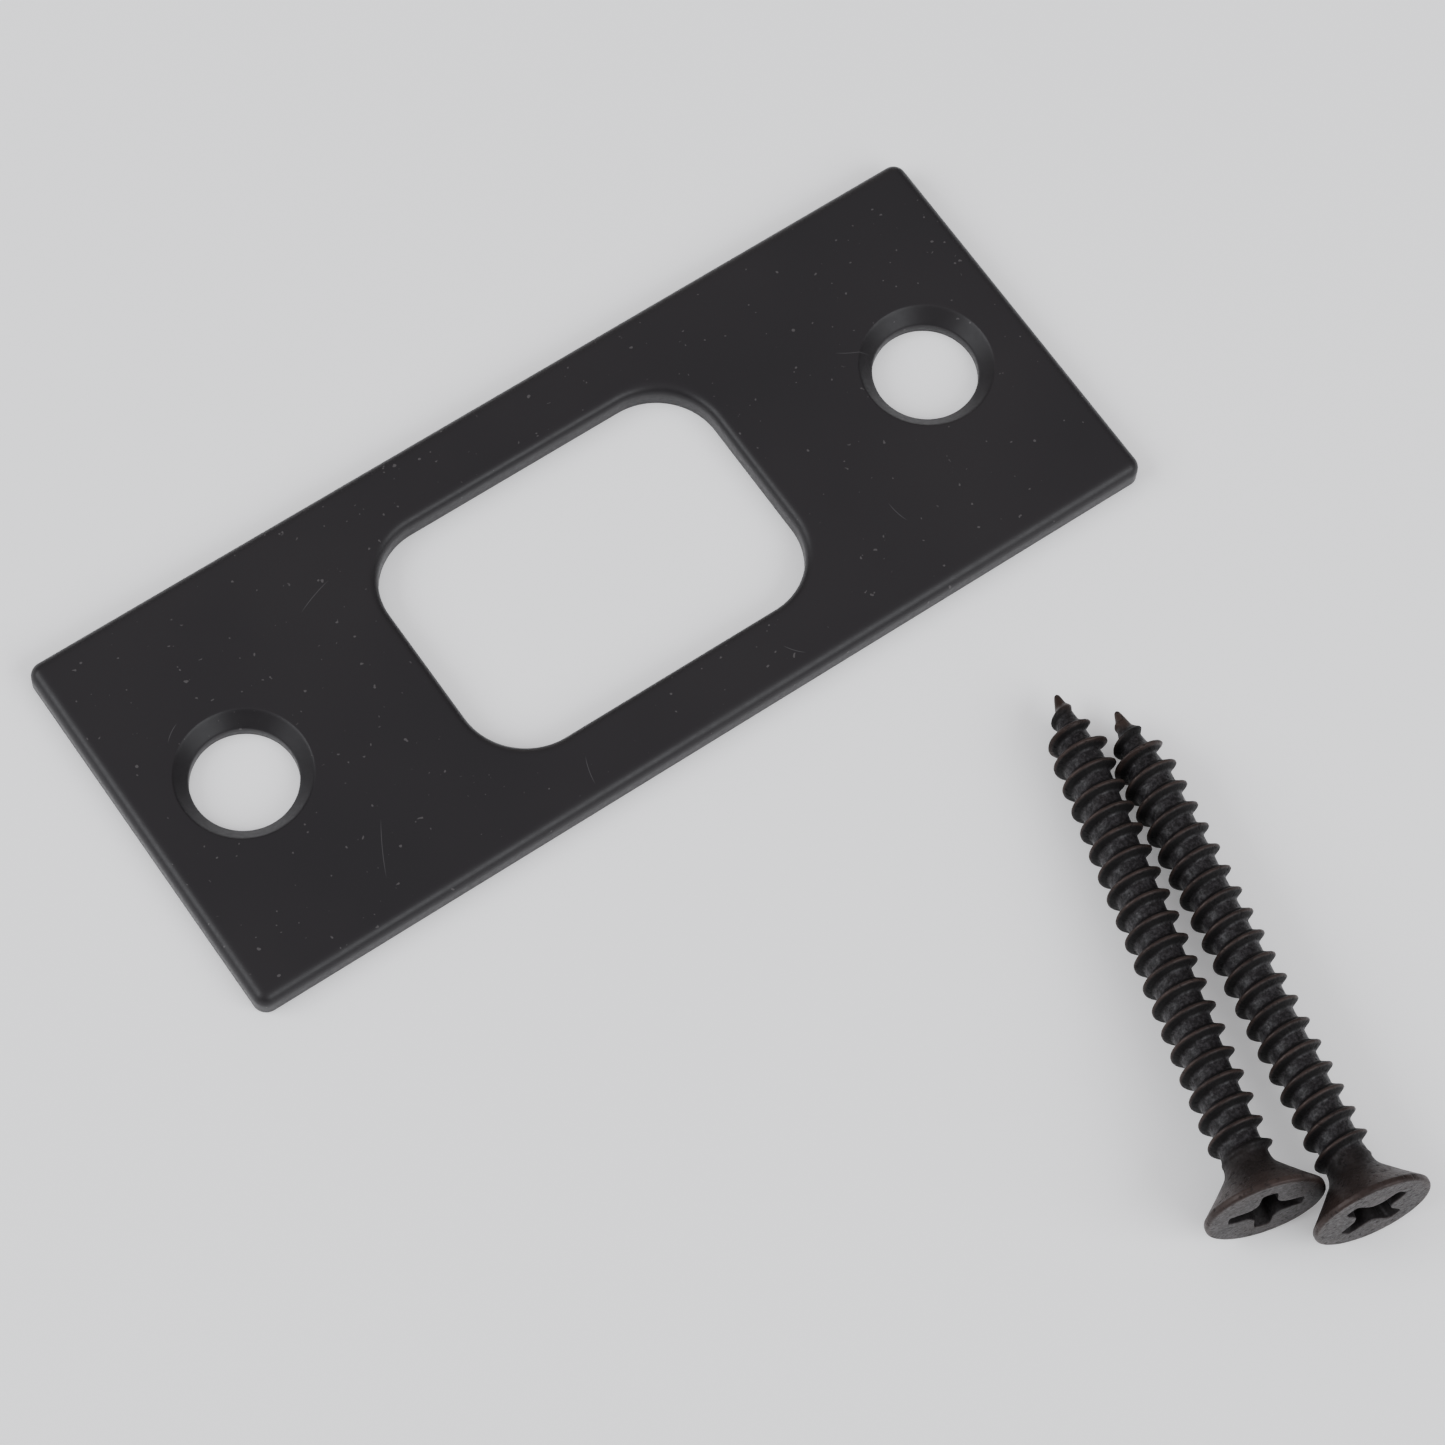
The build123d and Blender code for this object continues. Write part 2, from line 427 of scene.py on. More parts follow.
def size_of(tree, value):
    """The value without its sign."""
    return add_node(tree, "ShaderNodeMath", {"operation": "ABSOLUTE"}, i0=value).outputs[0]


print("node helpers ready")

# %% Black coat
COAT_DARK = (0.0125, 0.0112, 0.0125, 1)
COAT_LIGHT = (0.0155, 0.0138, 0.0148, 1)
DUST_GREY = (0.16, 0.15, 0.15, 1)
DUST_SHOWS = 0.3
HAIRLINE_GREY = (0.075, 0.072, 0.075, 1)
HAIRLINE_SHOWS = 0.55

# place along and across the plate in mm, turn in degrees and length in mm of each hairline
SCRATCHES = [
    (-22.6, -9.4, 62.0, 4.2),
    (-8.5, -12.2, 74.0, 2.1),
    (7.5, -12.5, 128.0, 1.6),
    (-16.5, 8.2, 20.0, 3.0),
    (23.5, 3.5, 152.0, 2.4),
    (19.0, -8.0, 100.0, 1.8),
    (-29.5, 5.0, 35.0, 1.5),
]
SCRATCH_WIDTH = 0.035
SCRATCH_BEND = 2.5


def hairlines(tree, where):
    """Thin bent strokes that fade out at both ends."""
    total = 0.0
    for along, across, turn, length in SCRATCHES:
        local = add_node(
            tree,
            "ShaderNodeMapping",
            {"vector_type": "TEXTURE"},
            Vector=where,
            Location=(along * MM, across * MM, 0.0),
            Rotation=(0.0, 0.0, math.radians(turn)),
            Scale=(length / 2 * MM, SCRATCH_WIDTH * MM, 1.0),
        )
        split = add_node(tree, "ShaderNodeSeparateXYZ", i0=local.outputs[0])
        x, y = split.outputs[0], split.outputs[1]
        far_along = times(tree, x, x)
        beside = size_of(tree, sum_of(tree, y, times(tree, far_along, SCRATCH_BEND)))
        inside = spread(tree, beside, 0.3, 1.0, 1.0, 0.0)
        fade = spread(tree, far_along, 0.2, 1.0, 1.0, 0.0)
        total = sum_of(tree, times(tree, inside, fade), total)
    return total


def black_coat():
    material, tree, shader = new_material("satin_black_coat")
    where = add_node(tree, "ShaderNodeTexCoord").outputs["Object"]
    clouds = noise(tree, where, 55.0, 3.0)
    grain = noise(tree, where, 2600.0, 2.0)
    dust = spread(tree, noise(tree, where, 2300.0, 1.0), 0.745, 0.78)
    hairline = hairlines(tree, where)
    tone = blend_colours(tree, spread(tree, clouds, 0.35, 0.7), COAT_DARK, COAT_LIGHT)
    tone = blend_colours(tree, times(tree, dust, DUST_SHOWS), tone, DUST_GREY)
    tone = blend_colours(tree, times(tree, hairline, HAIRLINE_SHOWS), tone, HAIRLINE_GREY)
    tree.links.new(tone, shader.inputs["Base Color"])
    handled = spread(tree, clouds, 0.3, 0.7, 0.4, 0.46)
    rough = sum_of(tree, handled, spread(tree, grain, 0.3, 0.7, -0.03, 0.03))
    tree.links.new(rough, shader.inputs["Roughness"])
    shader.inputs["Specular IOR Level"].default_value = 0.25
    orange_peel = noise(tree, where, 420.0, 2.0)
    height = sum_of(tree, times(tree, grain, 0.3), times(tree, orange_peel, 0.5))
    bump = add_node(tree, "ShaderNodeBump", Height=height, Strength=0.12, Distance=0.00004)
    tree.links.new(bump.outputs[0], shader.inputs["Normal"])
    return material


coat = black_coat()
plate.data.materials.append(coat)
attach(plate, "plate")
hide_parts("strike_plate")
print("coated:", plate.name)

# %% [markdown]
# ## The screws' shape
#
# A wood screw starts as wire. A die upsets one end into a cone with a flat face and a punched
# cross, and two rolling plates press the thread out of the rest. The head is round except for
# its cross, so every ring of it has the same number of points and only the radius of each point
# changes with the angle. The cross is then one more radius rule, with no cutting at all.

# %% Screw sizes
SCREW_LENGTH = 38.1 * MM
HEAD_R = 4.0 * MM
HEAD_RIM = 0.42 * MM
HEAD_RIM_ROUND = 0.2 * MM
HEAD_HALF_ANGLE = math.radians(45)
HEAD_SLOPE = math.tan(HEAD_HALF_ANGLE)
NECK_R = 1.55 * MM
NECK_LENGTH = 1.0 * MM
NECK_BLEND_R = 1.4 * MM
CORE_R = 1.4 * MM
THREAD_R = 2.0 * MM
THREAD_PITCH = 1.65 * MM
THREAD_RUNOUT = 0.95 * MM
THREAD_TO_HEAD = 0.35 * MM
POINT_LENGTH = 5.2 * MM
POINT_TIP_R = 0.13 * MM
POINT_BARE = 1.3 * MM
POINT_THREAD_R = 0.75 * MM
POINT_THREAD_FULL = 3.9 * MM
CONE_START = SCREW_LENGTH - HEAD_RIM - (HEAD_R - NECK_R) / HEAD_SLOPE
NECK_TOP = CONE_START - NECK_BLEND_R * math.tan(HEAD_HALF_ANGLE / 2)
FULL_THREAD_END = CONE_START - THREAD_TO_HEAD - THREAD_RUNOUT
CREST_HALF_WIDTH = 0.075 * MM
FLANK_WIDTH = 0.4 * MM
AROUND = 160

# Recess, punched for a cross driver
RECESS_REACH = 2.5 * MM
RECESS_DEPTH = 2.2 * MM
RECESS_FOOT_R = 1.1 * MM
RECESS_WING = 0.575 * MM
RECESS_CORE_R = 1.2 * MM
print("neck top in mm:", round(NECK_TOP / MM, 3))

# %% [markdown]
# ### Where the screws lie
#
# Each screw rests on the rim of its head and on its first full turn of thread, which tilts its
# point down towards the table. The two heads are staggered and the screws lean together towards
# their points, thread in valley, so each has its own place, heading and turn. Each screw is made
# upright, where a height and a distance from the axis say everything, and is laid down last.

# %% Lay a screw down
SCREWS = {
    "left": {
        "face": (9.2, -61.084),
        "heading": 73.55,
        "thread_turn": 63.7,
        "recess_turn": 0.0,
    },
    "right": {
        "face": (14.667, -64.957),
        "heading": 78.068,
        "thread_turn": 261.7,
        "recess_turn": 45.0,
    },
}
TILT = math.atan2(HEAD_R - THREAD_R, SCREW_LENGTH - HEAD_RIM - POINT_THREAD_FULL)


def resting_place(screw):
    """The turn and move that lay an upright screw on the table."""
    height = HEAD_R * math.cos(TILT) + HEAD_RIM * math.sin(TILT)
    x, y = screw["face"]
    return (
        Matrix.Translation((x * MM, y * MM, height))
        @ Matrix.Rotation(math.radians(screw["heading"]), 4, "Z")
        @ Matrix.Rotation(TILT - math.pi / 2, 4, "Y")
        @ Matrix.Translation((0, 0, -SCREW_LENGTH))
    )


print("tilt in degrees:", round(math.degrees(TILT), 2))

# %% Head and recess
LIP = 0.06 * MM
HOLLOW = 0.04 * MM
BLEND_STEPS = 8
CONE_STEPS = 12
ROUND_OVER_STEPS = 6
WING_CORNER = 8
CROSS_CORNER = 6

# rings from the rim in to the cross, over its lip, down its walls and across its floor
FACE_SHARES = (0.05, 0.15, 0.3, 0.5, 0.7, 0.88)
LIP_RINGS = ((1.2, 0.0), (0.5, 0.2), (0.12, 0.65), (0.0, 1.4))
WALL_SHARES = (0.15, 0.3, 0.45, 0.6, 0.75, 0.88, 0.96)
FLOOR_RINGS = ((0.58, 1.0), (0.32, 1.1), (0.1, 1.18))
FLOOR_CENTRE = 1.2
WING_TAPER = 0.12
CORE_TAPER = 0.25


def recess_radius(angle, wing, reach, core):
    """Distance from the axis to the edge of the cross at an angle.

    High powers join two curves with a small round corner, tighter as the power grows.
    """
    turned = (angle + math.pi / 4) % (math.pi / 2) - math.pi / 4
    side = wing / max(abs(math.sin(turned)), 0.001)
    wing_end = (side**-WING_CORNER + reach**-WING_CORNER) ** (-1 / WING_CORNER)
    return (wing_end**CROSS_CORNER + core**CROSS_CORNER) ** (1 / CROSS_CORNER)


def blend_rings():
    """Heights and radii of the hollow curve between the neck and the cone."""
    rings = []
    for step in range(BLEND_STEPS + 1):
        angle = HEAD_HALF_ANGLE * step / BLEND_STEPS
        height = NECK_TOP + NECK_BLEND_R * math.sin(angle)
        rings.append((height, NECK_R + NECK_BLEND_R * (1 - math.cos(angle))))
    return rings


def cone_rings(start):
    """The cone, which upsetting leaves a little hollow, up to the foot of the rim."""
    start_z, start_r = start
    rings = []
    for step in range(1, CONE_STEPS):
        share = step / CONE_STEPS
        hollow = HOLLOW * math.sin(math.pi * share)
        height = start_z + (SCREW_LENGTH - HEAD_RIM - start_z) * share
        rings.append((height, start_r + (HEAD_R - start_r) * share - hollow))
    return rings


def rim_rings():
    """The rim, rounded at the cone and again at the face."""
    cone_side = SCREW_LENGTH - HEAD_RIM + HEAD_RIM_ROUND * math.tan(HEAD_HALF_ANGLE / 2)
    face_side = SCREW_LENGTH - HEAD_RIM_ROUND
    rings = []
    for centre, first, last in ((cone_side, -HEAD_HALF_ANGLE, 0), (face_side, 0, math.pi / 2)):
        for step in range(ROUND_OVER_STEPS + 1):
            angle = first + (last - first) * step / ROUND_OVER_STEPS
            height = centre + HEAD_RIM_ROUND * math.sin(angle)
            rings.append((height, HEAD_R - HEAD_RIM_ROUND * (1 - math.cos(angle))))
    return rings


def add_round_ring(bm, start, height, radius_at):
    """A ring of points from a start angle, whose radius may change with the angle."""
    ring = []
    for step in range(AROUND):
        angle = start + 2 * math.pi * step / AROUND
        radius = radius_at(angle)
        ring.append(bm.verts.new((radius * math.cos(angle), radius * math.sin(angle), height)))
    return ring


def head_outline():
    """Heights and radii from the neck, up the cone and round the rim to the face."""
    blend = blend_rings()
    return blend + cone_rings(blend[-1]) + rim_rings()


def make_head(name, start, recess_turn):
    """The cone, the flat face and the cross, open at the neck where the shank joins.

    start is the angle of each ring's first point, so that the neck meets the shank's points.
    """
    bm = bmesh.new()
    rings = []
    face_edge = HEAD_R - HEAD_RIM_ROUND

    def ring(depth, radius_at):
        rings.append(add_round_ring(bm, start, SCREW_LENGTH - depth, radius_at))

    def cross(wing, reach, core):
        return lambda angle: recess_radius(angle - recess_turn, wing, reach, core)

    for height, radius in head_outline():
        rings.append(add_round_ring(bm, start, height, lambda a: radius))
    mouth = cross(RECESS_WING, RECESS_REACH, RECESS_CORE_R)
    for share in FACE_SHARES:
        ring(0.0, lambda a: face_edge + (mouth(a) + 2 * LIP - face_edge) * share)
    for grow, drop in LIP_RINGS:
        ring(LIP * drop, lambda a: mouth(a) + LIP * grow)
    for share in WALL_SHARES:
        reach = RECESS_REACH + (RECESS_FOOT_R - RECESS_REACH) * share
        wing = RECESS_WING * (1 - WING_TAPER * share)
        ring(RECESS_DEPTH * share, cross(wing, reach, RECESS_CORE_R * (1 - CORE_TAPER * share)))
    for share, depth in FLOOR_RINGS:
        ring(RECESS_DEPTH * depth, lambda a: RECESS_FOOT_R * share)
    join_rings(bm, rings, True)
    centre = bm.verts.new((0, 0, SCREW_LENGTH - RECESS_DEPTH * FLOOR_CENTRE))
    last = rings[-1]
    for i in range(AROUND):
        bm.faces.new((last[i], last[(i + 1) % AROUND], centre))
    mesh = bpy.data.meshes.new(name)
    bm.to_mesh(mesh)
    bm.free()
    head = bpy.data.objects.new(name, mesh)
    bpy.context.scene.collection.objects.link(head)
    return head


print("outline rings:", len(head_outline()))

# %% [markdown]
# ### The thread, grown by a node tree
#
# A thread can be swept along a helix, but a sweep has to be welded to the core and narrowed at
# the point by hand. It is simpler to say how far from the axis the metal reaches at each height
# and angle. The tree lays out a flat sheet of points, slants it by one pitch so that its rows run
# along the thread, wraps it round the axis and pushes each point out to its radius. Both ends
# are clipped flat, so the sheet closes on itself at the point and meets the head at the neck.
# The thread has faded out by then, or it would leave a ledge there. Wrapping turns the sheet's
# upper side inwards, so its faces are flipped to point out of the metal, as the head's do.

# %% Tree helpers
ROWS_A_TURN = 20
CREST_CROWDING = 1.7
POINT_BULGE = 0.85
FLANK_HOLLOW = 1.12
FIRST_CREST_SHARE = 0.6
WELD_DISTANCE = 0.002 * MM
DENT_SCALE = 900.0
DENT_DEPTH = 0.035 * MM
SWELL_SCALE = 160.0
SWELL_DEPTH = 0.05 * MM
SEED_STRIDE = 7.3


class Tree:
    """A geometry node tree with short ways to add maths."""

    def __init__(self, name):
        self.tree = bpy.data.node_groups.new(name, "GeometryNodeTree")
        self.sockets = {}

    def add_input(self, name, kind, value=None):
        socket = self.tree.interface.new_socket(name, in_out="INPUT", socket_type=kind)
        if value is not None:
            socket.default_value = value
        self.sockets[name] = socket.identifier

    def node(self, kind, settings=None, inputs=None):
        node = self.tree.nodes.new(kind)
        for key, value in (settings or {}).items():
            setattr(node, key, value)
        for key, value in (inputs or {}).items():
            self.feed(node.inputs[key], value)
        return node

    def feed(self, socket, value):
        if isinstance(value, bpy.types.NodeSocket):
            self.tree.links.new(value, socket)
        else:
            socket.default_value = value

    def maths(self, operation, *values):
        node = self.node("ShaderNodeMath", {"operation": operation})
        for socket, value in zip(node.inputs, values):
            self.feed(socket, value)
        return node.outputs[0]

    def line(self, value, low, high, to_low, to_high):
        """A value carried from one range to another, and clipped at its ends."""
        node = self.node("ShaderNodeMapRange")
        for socket, item in zip(node.inputs, (value, low, high, to_low, to_high)):
            self.feed(socket, item)
        return node.outputs[0]

    def mesh_step(self, kind, mesh, **inputs):
        """One step that takes a mesh and hands on a mesh."""
        return self.node("GeometryNode" + kind, None, {"Geometry": mesh, **inputs}).outputs[0]

    def unevenness(self, scale, detail, seed, depth):
        """Noise, as a distance in or out."""
        inputs = {"Scale": scale, "Detail": detail, "W": seed}
        texture = self.node("ShaderNodeTexNoise", {"noise_dimensions": "4D"}, inputs)
        return self.maths("MULTIPLY", self.maths("SUBTRACT", texture.outputs[0], 0.5), depth)


print("rows in a turn:", ROWS_A_TURN)

# %% Thread tree


def thread_tree(rows):
    """Head mesh in, whole screw out."""
    t = Tree("rolled_thread")
    t.add_input("Head", "NodeSocketGeometry")
    for name, value in (
        ("Pitch", THREAD_PITCH),
        ("Core radius", CORE_R),
        ("Thread radius", THREAD_R),
        ("Neck radius", NECK_R),
        ("Neck length", NECK_LENGTH),
        ("Neck top", NECK_TOP),
        ("Run-out", NECK_TOP - FULL_THREAD_END),
        ("Thread end", NECK_TOP),
        ("Point length", POINT_LENGTH),
        ("Tip radius", POINT_TIP_R),
        ("Bare point", POINT_BARE),
        ("First crest radius", POINT_THREAD_R),
        ("Full thread height", POINT_THREAD_FULL),
        ("Crest half width", CREST_HALF_WIDTH),
        ("Flank width", FLANK_WIDTH),
        ("Turn", 0.0),
        ("Wear seed", 1.0),
    ):
        t.add_input(name, "NodeSocketFloat", value)
    t.add_input("Finish", "NodeSocketMaterial")
    t.tree.interface.new_socket("Screw", in_out="OUTPUT", socket_type="NodeSocketGeometry")
    given = t.node("NodeGroupInput").outputs
    pitch, core, crest_r = given["Pitch"], given["Core radius"], given["Thread radius"]
    top = given["Neck top"]

    sheet = t.node("GeometryNodeMeshGrid", None, {0: 1.0, 1: 1.0, 2: rows, 3: AROUND + 1})
    position = t.node("GeometryNodeInputPosition").outputs[0]
    spot = t.node("ShaderNodeSeparateXYZ", None, {0: position})
    along_sheet = t.maths("ADD", spot.outputs[0], 0.5)
    row = t.maths("ROUND", t.maths("MULTIPLY", along_sheet, float(rows - 1)))
    share = t.maths("ADD", spot.outputs[1], 0.5)

    # rows crowd together at the crest, where the metal turns sharply
    turns = t.maths("DIVIDE", row, float(ROWS_A_TURN))
    whole = t.maths("FLOOR", t.maths("ADD", turns, 0.5))
    off = t.maths("SUBTRACT", turns, whole)
    crowd = t.maths("POWER", t.maths("MULTIPLY", t.maths("ABSOLUTE", off), 2.0), CREST_CROWDING)
    off_crest = t.maths("MULTIPLY", t.maths("MULTIPLY", t.maths("SIGN", off), crowd), 0.5)
    phase = t.maths("ADD", whole, off_crest)

    height = t.maths("MULTIPLY", t.maths("ADD", t.maths("SUBTRACT", phase, 1.0), share), pitch)
    height = t.maths("MINIMUM", t.maths("MAXIMUM", height, 0.0), top)

    # the bare blank: rounded tip, point, core and neck
    up_point = t.line(height, 0.0, given["Point length"], 0.0, 1.0)
    tip_share = t.maths("POWER", up_point, POINT_BULGE)
    point_gain = t.maths("MULTIPLY", t.maths("SUBTRACT", core, given["Tip radius"]), tip_share)
    tip_round = t.maths("SQRT", t.line(height, 0.0, given["Tip radius"], 0.0, 1.0))
    point_r = t.maths("MULTIPLY", t.maths("ADD", given["Tip radius"], point_gain), tip_round)
    neck = t.line(height, t.maths("SUBTRACT", top, given["Neck length"]), top, 0.0, 1.0)
    neck_gain = t.maths("MULTIPLY", t.maths("SUBTRACT", given["Neck radius"], core), neck)
    blank = t.maths("ADD", point_r, neck_gain)

    # how far out the crest stands at this height, before the thread fades at either end
    bare, end = given["Bare point"], given["Thread end"]
    first_r, full_height = given["First crest radius"], given["Full thread height"]
    crest_here = t.line(height, bare, full_height, first_r, crest_r)
    started = t.line(height, t.maths("MULTIPLY", bare, FIRST_CREST_SHARE), bare, 0.0, 1.0)
    gone = t.line(height, t.maths("SUBTRACT", end, given["Run-out"]), end, 1.0, 0.0)
    full = t.maths("SUBTRACT", crest_here, point_r)
    tall = t.maths("MULTIPLY", full, t.maths("MULTIPLY", started, gone))

    # the thread's own section: a narrow flat crest and hollow flanks
    away = t.maths("MULTIPLY", t.maths("ABSOLUTE", off_crest), pitch)
    crest_edge = given["Crest half width"]
    flank_foot = t.maths("ADD", crest_edge, given["Flank width"])
    flank = t.line(away, crest_edge, flank_foot, 1.0, 0.0)
    section = t.maths("POWER", flank, FLANK_HOLLOW)
    radius = t.maths("ADD", blank, t.maths("MULTIPLY", tall, section))

    angle = t.maths("MULTIPLY", share, 2 * math.pi)
    across = t.maths("MULTIPLY", t.maths("COSINE", angle), radius)
    along = t.maths("MULTIPLY", t.maths("SINE", angle), radius)
    wrapped = t.node("ShaderNodeCombineXYZ", None, {0: across, 1: along, 2: height}).outputs[0]
    shank = t.mesh_step("SetPosition", sheet.outputs[0], Position=wrapped)
    outward = t.node("GeometryNodeFlipFaces", None, {"Mesh": shank}).outputs[0]
    turn = t.node("ShaderNodeCombineXYZ", None, {2: given["Turn"]}).outputs[0]
    turned = t.mesh_step("Transform", outward, Rotation=turn)

    screw_parts = t.node("GeometryNodeJoinGeometry")
    t.tree.links.new(turned, screw_parts.inputs[0])
    t.tree.links.new(given["Head"], screw_parts.inputs[0])
    welded = t.mesh_step("MergeByDistance", screw_parts.outputs[0], Distance=WELD_DISTANCE)

    # rolling leaves small dents and slow swells all over
    seed = t.maths("MULTIPLY", given["Wear seed"], SEED_STRIDE)
    dents = t.unevenness(DENT_SCALE, 2.0, seed, DENT_DEPTH)
    swells = t.unevenness(SWELL_SCALE, 1.0, seed, SWELL_DEPTH)
    normal = t.node("GeometryNodeInputNormal").outputs[0]
    scale = {0: normal, "Scale": t.maths("ADD", dents, swells)}
    push = t.node("ShaderNodeVectorMath", {"operation": "SCALE"}, scale).outputs[0]
    worn = t.mesh_step("SetPosition", welded, Offset=push)
    plain = t.mesh_step("RealizeInstances", worn)
    smooth = t.mesh_step("SetShadeSmooth", plain)
    finished = t.mesh_step("SetMaterial", smooth, Material=given["Finish"])
    out = t.node("NodeGroupOutput")
    t.tree.links.new(finished, out.inputs[0])
    return t


ROWS = (math.ceil(NECK_TOP / THREAD_PITCH) + 2) * ROWS_A_TURN
thread = thread_tree(ROWS)
print("sheet rows:", ROWS)

# %% [markdown]
# ## The screws' finish
#
# The plating is dark bronze over steel. The valleys between the threads are grainy and dark grey,
# the flanks are painted near black as painted shade, and on the crests, the point and the head,
# where screws rub in the box, brown shows through. Painted shade also darkens the cross recess and
# the neck under the head. A material can't tell a crest from a valley by itself, so each screw
# carries two values at every point: how much brown has come through, and how much shade is painted.

# %% Bronze plating
GRAIN_DARK = (0.008, 0.007, 0.0075, 1)
GRAIN_LIGHT = (0.034, 0.0315, 0.0335, 1)
BROWN_DARK = (0.024, 0.0145, 0.0115, 1)
BROWN_LIGHT = (0.046, 0.031, 0.0265, 1)
PIT_BLACK = (0.008, 0.006, 0.006, 1)
PITS_SHOW = 0.5
# Painted shade: a near-black colour laid on the thread flanks, in the cross recess and round the
# neck
PAINTED_SHADE_COLOUR = (0.0035, 0.003, 0.003, 1)
PAINTED_SHADE_SHOWS = 0.93


def bronze_plating():
    material, tree, shader = new_material("dark_bronze_plating")
    where = add_node(tree, "ShaderNodeTexCoord").outputs["Object"]
    brown = add_node(tree, "ShaderNodeAttribute", {"attribute_name": "brown"}).outputs["Fac"]
    painted_shade = add_node(tree, "ShaderNodeAttribute", {"attribute_name": "painted_shade"}).outputs["Fac"]
    clouds = noise(tree, where, 420.0, 4.0, 0.6)
    specks = noise(tree, where, 4200.0, 3.0, 0.7)
    pits = spread(tree, noise(tree, where, 2600.0, 2.0), 0.32, 0.4, 1.0, 0.0)
    grey = blend_colours(tree, spread(tree, specks, 0.42, 0.68), GRAIN_DARK, GRAIN_LIGHT)
    rubbed = blend_colours(tree, spread(tree, clouds, 0.35, 0.65), BROWN_DARK, BROWN_LIGHT)
    share = spread(tree, sum_of(tree, brown, times(tree, clouds, 0.5)), 0.3, 1.2)
    tone = blend_colours(tree, share, grey, rubbed)
    tone = blend_colours(tree, times(tree, pits, PITS_SHOW), tone, PIT_BLACK)
    # painted shade: near black on the thread flanks, down the recess and by the neck
    tone = blend_colours(tree, times(tree, painted_shade, PAINTED_SHADE_SHOWS), tone, PAINTED_SHADE_COLOUR)
    tree.links.new(tone, shader.inputs["Base Color"])
    tree.links.new(spread(tree, share, 0.0, 1.0, 0.1, 0.35), shader.inputs["Metallic"])
    rough = sum_of(
        tree,
        spread(tree, specks, 0.35, 0.65, 0.52, 0.38),
        times(tree, pits, 0.15),
        times(tree, painted_shade, 0.22),
    )
    tree.links.new(rough, shader.inputs["Roughness"])
    shader.inputs["Specular IOR Level"].default_value = 0.2
    height = sum_of(tree, times(tree, specks, 0.8), times(tree, pits, -0.8))
    bump = add_node(tree, "ShaderNodeBump", Height=height, Strength=0.5, Distance=0.00005)
    tree.links.new(bump.outputs[0], shader.inputs["Normal"])
    return material


bronze = bronze_plating()
print("made:", bronze.name)

# %% Wear and painted shade
VALLEY_TOP = 0.12
CREST_FOOT = 0.88
TIP_RUB = 1.9 * MM
# Painted shade: how dark the crease at the neck, the foot of the cone and the mouth of the cross
# are made
NECK_BROWN = 0.4
NECK_PAINTED_SHADE = 0.6
CONE_BROWN = 0.75
CONE_PAINTED_SHADE_ENDS = 0.7
CREST_BROWN = 0.75
FACE_BROWN = 0.35
RIM_BROWN = 0.65
RECESS_BROWN = 0.2
MOUTH_PAINTED_SHADE = 0.55
CREST_BLUR = 0.06
FLANK_BLUR = 0.14


def ramp(value, low, high):
    """0 below low, 1 above high and a straight line between."""
    return min(1.0, max(0.0, (value - low) / (high - low)))


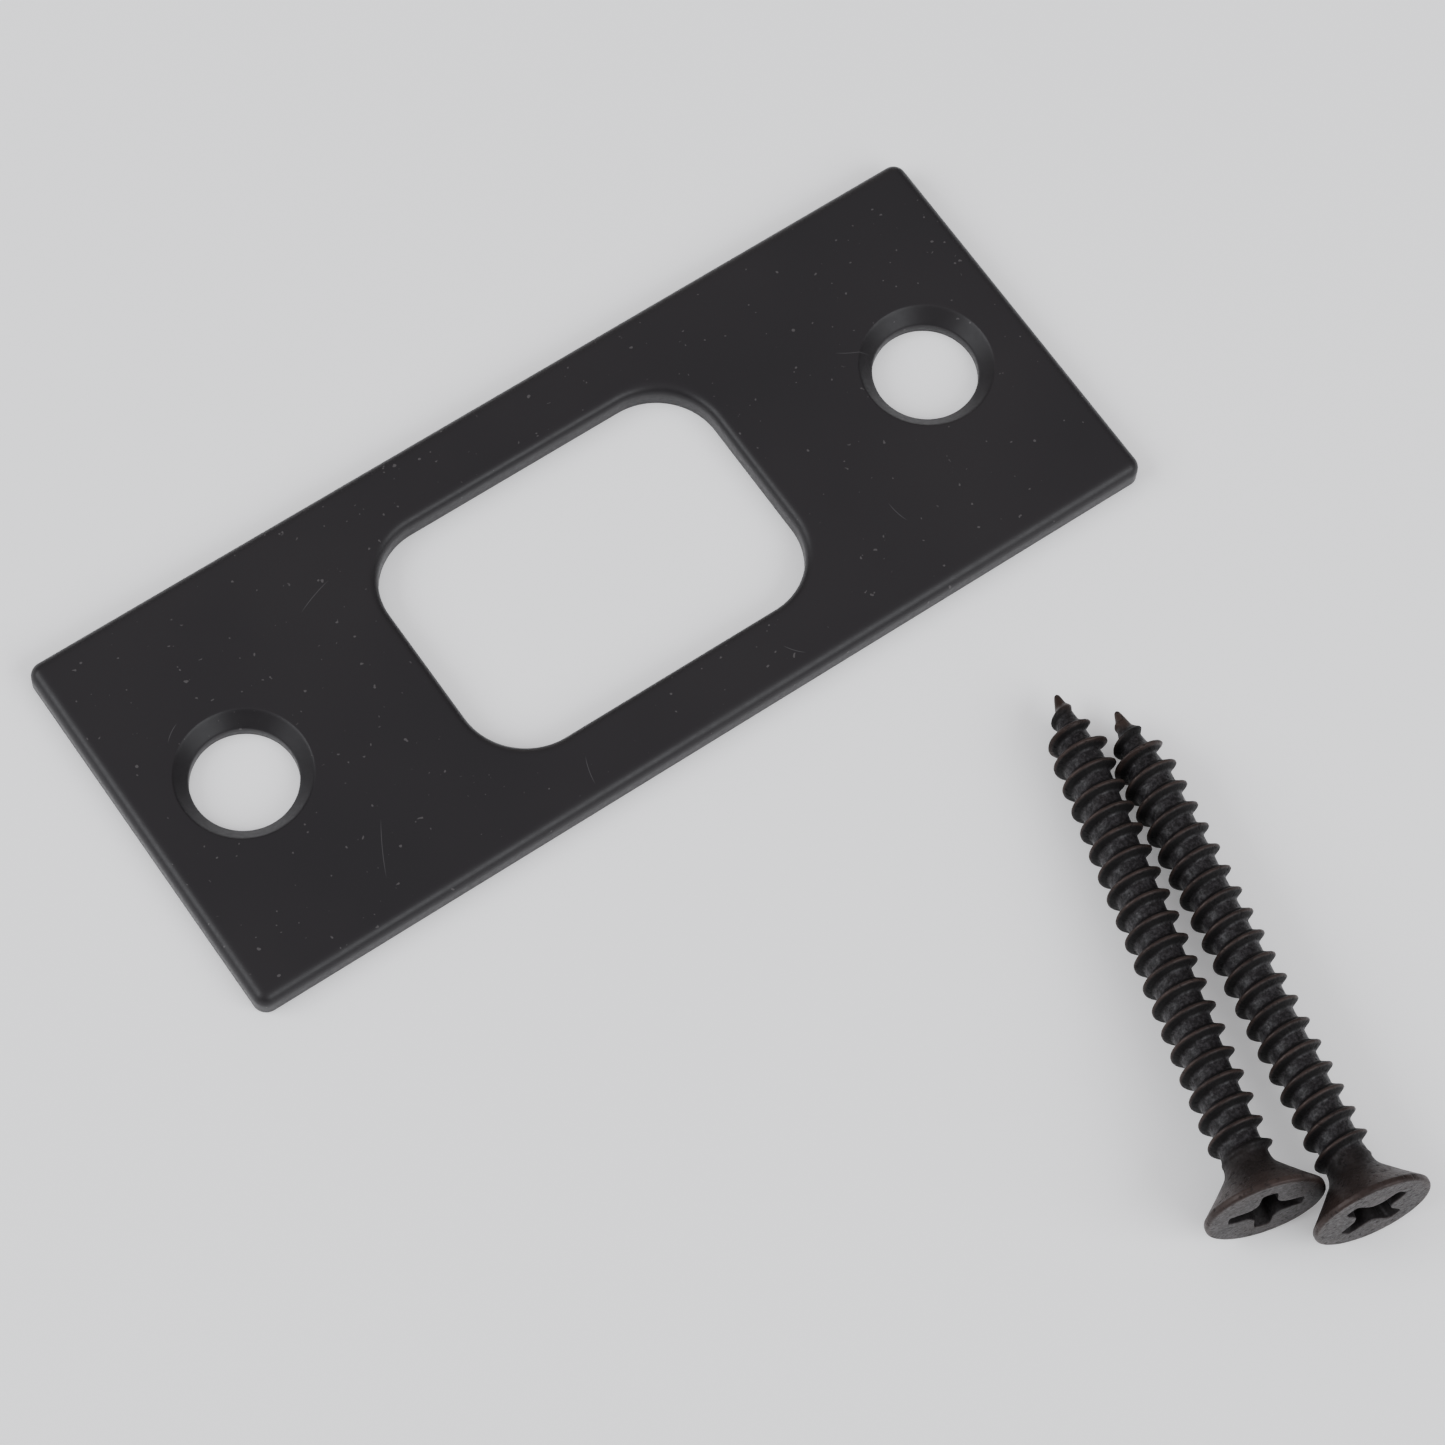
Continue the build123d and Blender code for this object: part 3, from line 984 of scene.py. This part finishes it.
def wear(radius, height):
    """How brown the plating is and how much shade is painted on it, from the distance to the axis
    and the height.
    """
    tip = 1 - ramp(height, TIP_RUB * 0.6, TIP_RUB)
    if height > NECK_TOP:
        depth = SCREW_LENGTH - height
        if depth > LIP and radius < RECESS_REACH + LIP and radius < HEAD_R - depth - HEAD_RIM:
            # in the cross: painted shade that deepens down the recess
            return RECESS_BROWN, MOUTH_PAINTED_SHADE + (1 - MOUTH_PAINTED_SHADE) * ramp(depth, 0, RECESS_DEPTH / 2)
        if depth < LIP:
            rim = ramp(radius, HEAD_R - 3 * HEAD_RIM_ROUND, HEAD_R - HEAD_RIM_ROUND)
            return max(FACE_BROWN, rim * RIM_BROWN), 0.0
        out = ramp(radius, NECK_R, HEAD_R)
        # painted shade in the crease at the neck, fading up the cone
        cone_painted_shade = NECK_PAINTED_SHADE * (1 - ramp(out, 0, CONE_PAINTED_SHADE_ENDS))
        return NECK_BROWN + (CONE_BROWN - NECK_BROWN) * out, cone_painted_shade
    core = POINT_TIP_R + (CORE_R - POINT_TIP_R) * ramp(height, 0, POINT_LENGTH)
    rise = (radius - core) / (THREAD_R - CORE_R)
    crest = ramp(rise, CREST_FOOT - CREST_BLUR, CREST_FOOT + CREST_BLUR)
    # painted shade on the thread flanks, between valley and crest
    flank = ramp(rise, VALLEY_TOP, VALLEY_TOP + FLANK_BLUR) * (1 - crest) * (1 - tip)
    neck = ramp(height, NECK_TOP - NECK_LENGTH, NECK_TOP)
    brown = max(tip, crest * CREST_BROWN, neck * NECK_BROWN)
    return brown, flank * (1 - neck) + NECK_PAINTED_SHADE * neck


def add_wear(mesh):
    """Two values at every point, set while the screw still stands on its axis."""
    brown = mesh.attributes.new("brown", "FLOAT", "POINT")
    # the second value is painted shade, not wear
    painted_shade = mesh.attributes.new("painted_shade", "FLOAT", "POINT")
    for i, vertex in enumerate(mesh.vertices):
        x, y, z = vertex.co
        brown.data[i].value, painted_shade.data[i].value = wear(math.hypot(x, y), z)


def shell_report(mesh):
    """Counts of edges without two faces and of edges whose faces disagree, and the volume."""
    bm = bmesh.new()
    bm.from_mesh(mesh)
    loose = sum(1 for edge in bm.edges if not edge.is_manifold)
    turned = sum(1 for edge in bm.edges if edge.is_manifold and not edge.is_contiguous)
    volume = bm.calc_volume(signed=True)
    bm.free()
    return f"open edges {loose}, disagreeing edges {turned}, volume {volume / MM**3:.1f} mm3"


# %% Build both screws


def make_screw(side, seed):
    screw = SCREWS[side]
    start = math.radians(screw["thread_turn"])
    head = make_head(f"screw_{side}_body", start, math.radians(screw["recess_turn"]))
    modifier = head.modifiers.new("thread", "NODES")
    modifier.node_group = thread.tree
    modifier[thread.sockets["Turn"]] = start
    modifier[thread.sockets["Wear seed"]] = seed
    modifier[thread.sockets["Finish"]] = bronze
    graph = bpy.context.evaluated_depsgraph_get()
    mesh = bpy.data.meshes.new_from_object(head.evaluated_get(graph))
    head.modifiers.clear()
    head.data = mesh
    print(head.name, shell_report(mesh))
    add_wear(mesh)
    mesh.transform(resting_place(screw))
    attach(head, f"{side}_screw")
    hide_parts(f"wood_screw_{side}")
    return head


for seed, side in enumerate(SCREWS, 1):
    made = make_screw(side, float(seed))
    triangles = sum(len(face.vertices) - 2 for face in made.data.polygons)
    print(made.name, "triangles:", triangles)
